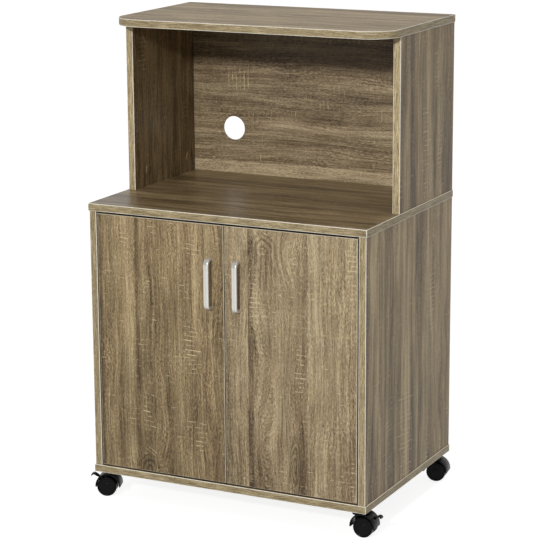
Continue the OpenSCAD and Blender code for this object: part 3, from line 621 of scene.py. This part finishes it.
# painted sheen: the top's print is lifted by its level of 0.10 while its shine is kept low, in place of
# much of the light it reflects
mat_top = wood("oak_top", TAUPE, X, Y, 5.0, 0.0, 0.10, saw=0.3, broad=1.9, fine=0.7, shine=0.1)
mat_worktop = wood("oak_worktop", TAN, X, Y, 6.0, 40.0, -0.05, saw=0.3, rough=0.34, broad=1.6, fine=0.7)
mat_back = wood(
    "oak_back", BROWN, X, Z, 7.0, 200.0, 0.01, MARKS_BACK, SAWS_BACK, STRIPES_AND_PAINTED_SHADE_BACK, 0.5, rear=1.0,
    broad=1.1, fine=0.9, stave_mm=400.0,
)
mat_inside = wood("oak_inside", TAN, X, Y, 8.0, 10.0)

mat_band_flat = band_print("band_horizontal", (1, 1, 0), 1.0)
mat_band_upright = band_print("band_upright", (0, 0, 1), 2.0, painted_light_to_right=0.12)
mat_band_door = band_print("band_door", (1, 0, 1), 3.0, painted_gap_shade=True)
# the strips' trimmed corners: lighter plastic under the print, made whiter still as a painted highlight of
# their rounded edges
mat_arris_highlight = mottled("band_arris", (245, 240, 224))
mat_door_arris_highlight = mottled("door_band_arris", (230, 219, 196))
mat_beech = mottled("beech", (196, 166, 122))

mat_steel = metal("zinc_steel", (188, 188, 184), 0.34, (0.8, 0.8, 6.0))
mat_handle = metal("satin_handle", (216, 214, 207), 0.30, (0.5, 0.5, 14.0), metallic=0.6, painted_spine=30.5)
mat_black = plastic("black_plastic", (9, 9, 9), 0.32, 0.14)
mat_wheel = plastic("black_nylon", (9, 9, 9), 0.32, 0.10)

NODE_MATERIALS = {
    "top_panel": mat_top,
    "worktop": mat_worktop,
    "bottom_panel": mat_worktop,
    "left_side_panel": mat_side,
    "right_side_panel": mat_side,
    "left_hutch_side": mat_hutch_left_painted_shade,
    "right_hutch_side": mat_hutch_right,
    "hutch_back": mat_back,
    "cabinet_back": mat_back,
    "shelf": mat_inside,
    "cam_covers": mat_hutch_left_painted_shade,
    "left_door": mat_door_left,
    "right_door": mat_door_right,
    "dowels": mat_beech,
    "left_handle": mat_handle,
    "right_handle": mat_handle,
    "panel_edge_bands": mat_band_flat,
    "front_edge_bands": mat_band_upright,
    "left_door_edge_band": mat_band_door,
    "right_door_edge_band": mat_band_door,
}

# CAD nodes that are black plastic go by their names, and the rest is steel
for name, node in nodes.items():
    black = "wheel" in name or "hood" in name or "lever" in name
    material = NODE_MATERIALS.get(name, mat_black if black else mat_steel)
    node.data.materials.clear()
    node.data.materials.append(material)


# ---------------------------------------------------------------- pieces


def show(name, mesh, smooth, body, replaced):
    """Puts a mesh in the scene in place of CAD nodes. Edges of up to smooth degrees look round."""
    mesh.shade_smooth()
    mesh.set_sharp_from_angle(angle=math.radians(smooth))
    piece = bpy.data.objects.new(name, mesh)
    bpy.context.scene.collection.objects.link(piece)
    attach(piece, body)
    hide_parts(*replaced)


def add_piece(name, points, faces, materials, body, replaced, smooth=30.0):
    """A piece from points and faces. faces are (corners, material number)."""
    mesh = bpy.data.meshes.new(name)
    mesh.from_pydata([tuple(v * MM for v in q) for q in points], [], [f for f, _ in faces])
    for material in materials:
        mesh.materials.append(material)
    for polygon, (_, number) in zip(mesh.polygons, faces):
        polygon.material_index = number
    work = bmesh.new()
    work.from_mesh(mesh)
    bmesh.ops.recalc_face_normals(work, faces=work.faces)
    work.to_mesh(mesh)
    work.free()
    show(name, mesh, smooth, body, replaced)


# Edge bands: thickness, how far their trimmed corners go in and across, and the radii of boards' corners
BAND_MM = 0.8
ARRIS_IN_MM = 0.75
ARRIS_MM = 1.1
TIGHT_MM = 1.2
ROUNDED_MM = 60.0
TIGHT_STEPS, ROUNDED_STEPS = 5, 40
# Materials of an edge band, by number
PRINT, ARRIS = 0, 1


def rounded_box(x0, x1, y0, y1, radii):
    """Anticlockwise outline with corner radii for (x0,y0), (x1,y0), (x1,y1), (x0,y1).
    Each point comes with its outward direction and whether it lies on a tight corner."""
    outline = []
    for (cx, cy, start), r in zip(((x0, y0, 180), (x1, y0, 270), (x1, y1, 0), (x0, y1, 90)), radii):
        ox = cx + (r if cx == x0 else -r)
        oy = cy + (r if cy == y0 else -r)
        tight = r == TIGHT_MM
        count = TIGHT_STEPS if tight else ROUNDED_STEPS
        for i in range(count + 1):
            angle = math.radians(start + 90.0 * i / count)
            way = (math.cos(angle), math.sin(angle))
            outline.append((ox + way[0] * r, oy + way[1] * r, way, tight and i < count))
    return outline


def band_profile(width):
    """Section of a strip, from one inner corner to the other: (distance inwards, across, material)."""
    arc = [(math.sin(math.radians(q)), math.cos(math.radians(q))) for q in (0, 30, 60, 90)]
    near = [(ARRIS_IN_MM * (1 - i), ARRIS_MM * (1 - j), ARRIS) for i, j in arc]
    far = [(q, width - h, m) for q, h, m in reversed(near)]
    # the printed face starts where the first trimmed corner ends
    near[-1] = (*near[-1][:2], PRINT)
    return [(BAND_MM, 0.0, ARRIS), *near, *far, (BAND_MM, width, ARRIS)]


def ring(outline, low, width, put):
    """An edge band that runs round a board. put turns (first, second, across) into a point."""
    profile = band_profile(width)
    count = len(profile)
    points = []
    for x, y, way, _ in outline:
        points += [put(x - way[0] * q, y - way[1] * q, low + h) for q, h, _ in profile]
    faces = []
    for i in range(len(outline)):
        j = (i + 1) % len(outline)
        for k in range(count):
            n = (k + 1) % count
            number = ARRIS if outline[i][3] else profile[k][2]
            faces.append(((i * count + k, j * count + k, j * count + n, i * count + n), number))
    return points, faces


def strip(ends, width, put):
    """A straight edge band between two ends. put turns (along, inwards, across) into a point."""
    profile = band_profile(width)
    count = len(profile)
    points = [put(end, q, h) for end in ends for q, h, _ in profile]
    faces = []
    for k in range(count):
        n = (k + 1) % count
        faces.append(((k, n, count + n, count + k), profile[k][2]))
    faces += [(tuple(range(count)), ARRIS), (tuple(range(count, 2 * count)), ARRIS)]
    return points, faces


def join(parts):
    """Several (points, faces) as one."""
    points, faces = [], []
    for more_points, more_faces in parts:
        start = len(points)
        points += more_points
        faces += [(tuple(start + q for q in f), number) for f, number in more_faces]
    return points, faces


def corners_mm(node):
    """Low and high corner of a CAD node."""
    low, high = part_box(node)
    return [v / MM for v in low], [v / MM for v in high]


def add_panel_bands():
    """Strips round the top, the worktop and the bottom."""
    rings = []
    for board, front in (("top_panel", ROUNDED_MM), ("worktop", TIGHT_MM), ("bottom_panel", TIGHT_MM)):
        (x0, y0, z0), (x1, y1, z1) = corners_mm(board)
        outline = rounded_box(
            x0 - BAND_MM, x1 + BAND_MM, y0 - BAND_MM, y1 + BAND_MM, (front, front, TIGHT_MM, TIGHT_MM)
        )
        rings.append(ring(outline, z0, z1 - z0, lambda x, y, z: (x, y, z)))
    points, faces = join(rings)
    add_piece(
        "panel_bands", points, faces, (mat_band_flat, mat_arris_highlight), "cart", ("panel_edge_bands",)
    )


def add_front_bands():
    """Strips on the front edges of the four upright boards and of the shelf."""
    strips = []
    for board in ("left_side_panel", "right_side_panel", "left_hutch_side", "right_hutch_side"):
        (x0, y0, z0), (x1, _, z1) = corners_mm(board)
        strips.append(strip((z0, z1), x1 - x0, lambda z, q, h: (x0 + h, y0 - BAND_MM + q, z)))
    (x0, y0, z0), (x1, _, z1) = corners_mm("shelf")
    strips.append(strip((x0, x1), z1 - z0, lambda x, q, h: (x, y0 - BAND_MM + q, z0 + h)))
    points, faces = join(strips)
    add_piece(
        "front_bands", points, faces, (mat_band_upright, mat_arris_highlight), "cart",
        ("front_edge_bands",),
    )


def add_door_band(side):
    """The strip round a door."""
    (x0, y0, z0), (x1, y1, z1) = corners_mm(side + "_door")
    outline = rounded_box(x0 - BAND_MM, x1 + BAND_MM, z0 - BAND_MM, z1 + BAND_MM, (TIGHT_MM,) * 4)
    points, faces = ring(outline, y0, y1 - y0, lambda x, z, y: (x, y, z))
    add_piece(
        side + "_door_band", points, faces, (mat_band_door, mat_door_arris_highlight), side + "_door",
        (side + "_door_edge_band",),
    )


def rounded_section(half_width, half_depth, r, steps=4):
    """Points round a rounded rectangle, from its centre."""
    section = []
    for sx, sy, start in ((1, 1, 0), (-1, 1, 90), (-1, -1, 180), (1, -1, 270)):
        for i in range(steps + 1):
            angle = math.radians(start + 90.0 * i / steps)
            x = sx * (half_width - r) + r * math.cos(angle)
            y = sy * (half_depth - r) + r * math.sin(angle)
            section.append((x, y))
    return section


# Handles: thickness of the grip and of the feet, outer radius of the bends, radius of the strap's edges
GRIP_MM, FOOT_MM, BEND_MM, STRAP_EDGE_MM = 5.0, 7.0, 13.0, 2.2
BEND_STEPS, GRIP_STEPS = 9, 5


def handle_stations(half_l, reach):
    """Pairs of an outer and an inner point along the strap, each (distance from the door, height)."""
    inner_r = BEND_MM - GRIP_MM
    outside, inside = [], []
    for back in (0.0, 1.2, 4.5, reach - BEND_MM):
        outside.append((back, half_l))
        inside.append((back * (reach - GRIP_MM - inner_r) / (reach - BEND_MM), half_l - FOOT_MM))
    for i in range(1, BEND_STEPS + 1):
        turn = math.radians(90.0 * i / BEND_STEPS)
        away, drop = math.sin(turn), 1 - math.cos(turn)
        outside.append((reach - BEND_MM + BEND_MM * away, half_l - BEND_MM * drop))
        inside.append((reach - GRIP_MM - inner_r + inner_r * away, half_l - FOOT_MM - inner_r * drop))
    stations = list(zip(outside, inside))
    for i in range(1, GRIP_STEPS + 1):
        share = 1 - i / GRIP_STEPS
        outer = (reach, (half_l - BEND_MM) * share)
        stations.append((outer, (reach - GRIP_MM, (half_l - FOOT_MM - inner_r) * share)))
    return stations + [((oy, -oz), (iy, -iz)) for (oy, oz), (iy, iz) in reversed(stations[:-1])]


def add_handle(side):
    """A bow handle: a strap with rounded edges, bent round two corners, thicker at its feet."""
    (x0, y0, z0), (x1, y1, z1) = corners_mm(side + "_handle")
    middle_x, middle_z = (x0 + x1) / 2, (z0 + z1) / 2
    stations = handle_stations((z1 - z0) / 2, y1 - y0)
    points = []
    for (oy, oz), (iy, iz) in stations:
        thick = math.dist((oy, oz), (iy, iz)) / 2
        for across, through in rounded_section((x1 - x0) / 2, thick, min(STRAP_EDGE_MM, thick * 0.8)):
            share = (through / thick + 1) / 2
            points.append(
                (middle_x + across, y1 - (iy + (oy - iy) * share), middle_z + iz + (oz - iz) * share)
            )
    count = len(points) // len(stations)
    faces = []
    for i in range(len(stations) - 1):
        near, far = i * count, (i + 1) * count
        for k in range(count):
            n = (k + 1) % count
            faces.append(((near + k, near + n, far + n, far + k), 0))
    faces.append((tuple(range(count)), 0))
    faces.append((tuple(range(len(points) - count, len(points))), 0))
    add_piece(
        side + "_bow_handle", points, faces, (mat_handle,), side + "_door",
        (side + "_handle",), 40.0,
    )


# Eased parts: edges sharper than EASED_DEG are rounded, after points within WELD_MM are joined and edges
# between triangles that are flat to within FLAT_DEG are dissolved
EASED_DEG = 35.0
FLAT_DEG = 0.5
WELD_MM = 0.002


def add_eased(node, width_mm, material):
    """A copy of a CAD node with its sharp edges eased, as moulded or stamped parts have them."""
    mesh = nodes[node].data.copy()
    work = bmesh.new()
    work.from_mesh(mesh)
    bmesh.ops.remove_doubles(work, verts=work.verts, dist=WELD_MM * MM)
    bmesh.ops.dissolve_limit(work, angle_limit=math.radians(FLAT_DEG), verts=work.verts, edges=work.edges)
    sharp = [
        e for e in work.edges if len(e.link_faces) == 2 and e.calc_face_angle() > math.radians(EASED_DEG)
    ]
    bmesh.ops.bevel(
        work, geom=sharp, offset=width_mm * MM, offset_type="OFFSET", segments=2, profile=0.5,
        affect="EDGES", clamp_overlap=True,
    )
    bmesh.ops.recalc_face_normals(work, faces=work.faces)
    work.to_mesh(mesh)
    work.free()
    mesh.materials.clear()
    mesh.materials.append(material)
    show(node + "_eased", mesh, 32.0, nodes[node]["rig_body"], (node,))


# Casters: radius of the wheels, distance between the two, distance of their axle from the swivel axis
WHEEL_R, WHEEL_SPACE, TRAIL = 20.0, 13.0, 16.0
# Each caster: swivel axis in X and Y, angle of its trail, side on which its fore wheel lies
CASTERS = {
    "front_left": (-270.0, -174.75, 199.5, 1),
    "front_right": (270.0, -174.75, 2.0, -1),
    "rear_left": (-270.0, 191.25, 172.0, 1),
    "rear_right": (270.0, 191.25, 8.0, -1),
}
# Half section of a wheel: radius, distance from its inner face
WHEEL_SECTION = (
    (0.0, 9.3), (2.6, 9.3), (2.6, 0.3), (5.3, 0.1), (5.5, 0.4), (5.5, 4.5), (15.6, 4.5),
    (16.6, 0.6), (17.2, 0.1), (18.6, 0.0), (19.3, 0.22), (19.8, 0.75), (20.0, 1.6),
    (20.0, 8.9), (19.8, 9.75), (19.3, 10.28), (18.6, 10.5), (17.7, 10.5), (17.3, 10.3),
    (17.15, 9.4), (16.8, 9.2), (16.4, 9.3), (16.1, 9.7), (15.2, 9.85), (12.0, 9.75),
    (8.2, 9.6), (7.2, 9.65), (6.7, 10.0), (6.0, 10.15), (3.0, 10.2), (0.0, 10.2),
)
WHEEL_STEPS = 72
HOOD_EDGE_MM = 0.4
COVER_EDGE_MM = 0.25


def add_wheel(caster, place):
    """A wheel with its rim and hub. place is 1 for the fore wheel and -1 for the aft one."""
    x, y, angle, fore = CASTERS[caster]
    end = place * fore
    turn = math.radians(angle)
    along = (math.cos(turn), math.sin(turn))
    axle = (-math.sin(turn), math.cos(turn))

    def put(r, h, spin):
        forward = TRAIL + r * math.cos(spin)
        across = end * (WHEEL_SPACE / 2 + h)
        return (
            x + along[0] * forward + axle[0] * across,
            y + along[1] * forward + axle[1] * across,
            WHEEL_R + r * math.sin(spin),
        )

    rings = WHEEL_SECTION[1:-1]
    spins = [2 * math.pi * i / WHEEL_STEPS for i in range(WHEEL_STEPS)]
    points = [put(r, h, spin) for r, h in rings for spin in spins]
    faces = []
    for k in range(len(rings) - 1):
        near, far = k * WHEEL_STEPS, (k + 1) * WHEEL_STEPS
        for i in range(WHEEL_STEPS):
            j = (i + 1) % WHEEL_STEPS
            faces.append(((near + i, near + j, far + j, far + i), 0))
    # both faces close on a point at the centre
    for k, (r, h) in ((0, WHEEL_SECTION[0]), (len(rings) - 1, WHEEL_SECTION[-1])):
        first, centre = k * WHEEL_STEPS, len(points)
        points.append(put(r, h, 0.0))
        faces += [((first + i, first + (i + 1) % WHEEL_STEPS, centre), 0) for i in range(WHEEL_STEPS)]
    node = caster + ("_fore_wheel" if place > 0 else "_aft_wheel")
    add_piece(
        node + "_tyre", points, faces, (mat_wheel,), nodes[node]["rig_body"], (node,), 28.0
    )


add_panel_bands()
add_front_bands()
for side in ("left", "right"):
    add_door_band(side)
    add_handle(side)
for caster in CASTERS:
    add_wheel(caster, 1)
    add_wheel(caster, -1)
    add_eased(caster + "_caster_hood", HOOD_EDGE_MM, mat_black)
for side in ("left", "right"):
    add_eased("front_" + side + "_brake_lever", HOOD_EDGE_MM, mat_black)
# the covers carry the left hutch side's print, with its painted shade
add_eased("cam_covers", COVER_EDGE_MM, mat_hutch_left_painted_shade)


# ---------------------------------------------------------------- floor and light

FLOOR_HALF = 12.0
FLOOR_GLOW = 0.86


def add_floor():
    """A pale floor that glows to the camera and to reflections, and keeps the object's shadow."""
    t = Tree("floor")
    p = t.position()
    speck = t.noise(p[X] / 7.0, p[Y] / 7.0, p[Z], 2.0)
    shade = t.ramp(speck, 0.2, 0.8, 0.985, 1.0)
    t.finish(t.grade(t.constant((152, 152, 152)), shade), 0.75)
    glow = t.nodes.new("ShaderNodeEmission")
    glow.inputs["Color"].default_value = (1.0, 1.0, 1.0, 1.0)
    path = t.nodes.new("ShaderNodeLightPath")
    camera, glossy = (Value(t, path.outputs[kind]) for kind in ("Is Camera Ray", "Is Glossy Ray"))
    t.put(glow.inputs["Strength"], t.math("MAXIMUM", camera, glossy) * FLOOR_GLOW)
    add = t.nodes.new("ShaderNodeAddShader")
    t.links.new(t.shader.outputs[0], add.inputs[0])
    t.links.new(glow.outputs[0], add.inputs[1])
    t.links.new(add.outputs[0], t.output.inputs["Surface"])
    mesh = bpy.data.meshes.new("floor")
    corners = [(x * FLOOR_HALF, y * FLOOR_HALF, 0) for x, y in ((-1, -1), (1, -1), (1, 1), (-1, 1))]
    mesh.from_pydata(corners, [], [(0, 1, 2, 3)])
    mesh.materials.append(t.material)
    floor = bpy.data.objects.new("floor", mesh)
    bpy.context.scene.collection.objects.link(floor)


def add_world():
    """A pale studio, white to the camera, dimmer below, and dimmer in reflections of the camera's side."""
    world = bpy.data.worlds.new("world")
    world.use_nodes = True
    bpy.context.scene.world = world
    nodes_in, links = world.node_tree.nodes, world.node_tree.links
    path = nodes_in.new("ShaderNodeLightPath")
    where = nodes_in.new("ShaderNodeTexCoord")
    split = nodes_in.new("ShaderNodeSeparateXYZ")
    links.new(where.outputs["Generated"], split.inputs[0])

    def ramp(axis, low, high, to_low, to_high):
        node = nodes_in.new("ShaderNodeMapRange")
        links.new(split.outputs[axis], node.inputs["Value"])
        ends = {"From Min": low, "From Max": high, "To Min": to_low, "To Max": to_high}
        for name, value in ends.items():
            node.inputs[name].default_value = value
        return node.outputs[0]

    level = nodes_in.new("ShaderNodeMix")
    links.new(path.outputs["Is Glossy Ray"], level.inputs[0])
    links.new(ramp(Z, 0.0, 1.0, 0.14, 0.52), level.inputs[2])
    links.new(ramp(Y, -0.7, 0.5, 0.30, 0.85), level.inputs[3])
    seen = nodes_in.new("ShaderNodeMath")
    seen.operation = "MAXIMUM"
    links.new(level.outputs[0], seen.inputs[0])
    links.new(path.outputs["Is Camera Ray"], seen.inputs[1])
    ground = nodes_in["Background"]
    ground.inputs["Color"].default_value = (1.0, 1.0, 1.0, 1.0)
    links.new(seen.outputs[0], ground.inputs["Strength"])


def add_lamp(name, place, aim, size, watts):
    """A square soft lamp that points at aim."""
    data = bpy.data.lights.new(name, "AREA")
    data.shape = "RECTANGLE"
    data.size = size
    data.size_y = size
    data.energy = watts
    lamp = bpy.data.objects.new(name, data)
    bpy.context.scene.collection.objects.link(lamp)
    lamp.location = place
    lamp.rotation_euler = (Vector(aim) - Vector(place)).to_track_quat("-Z", "Y").to_euler()


add_floor()
add_world()
add_lamp("key", (0.42, -5.0, 2.6), (0.0, 0.0, 0.5), 0.35, 175.0)
add_lamp("fill", (3.0, -0.3, 1.2), (0.3, 0.0, 0.5), 1.4, 9.5)

bpy.context.scene.view_settings.view_transform = "Standard"
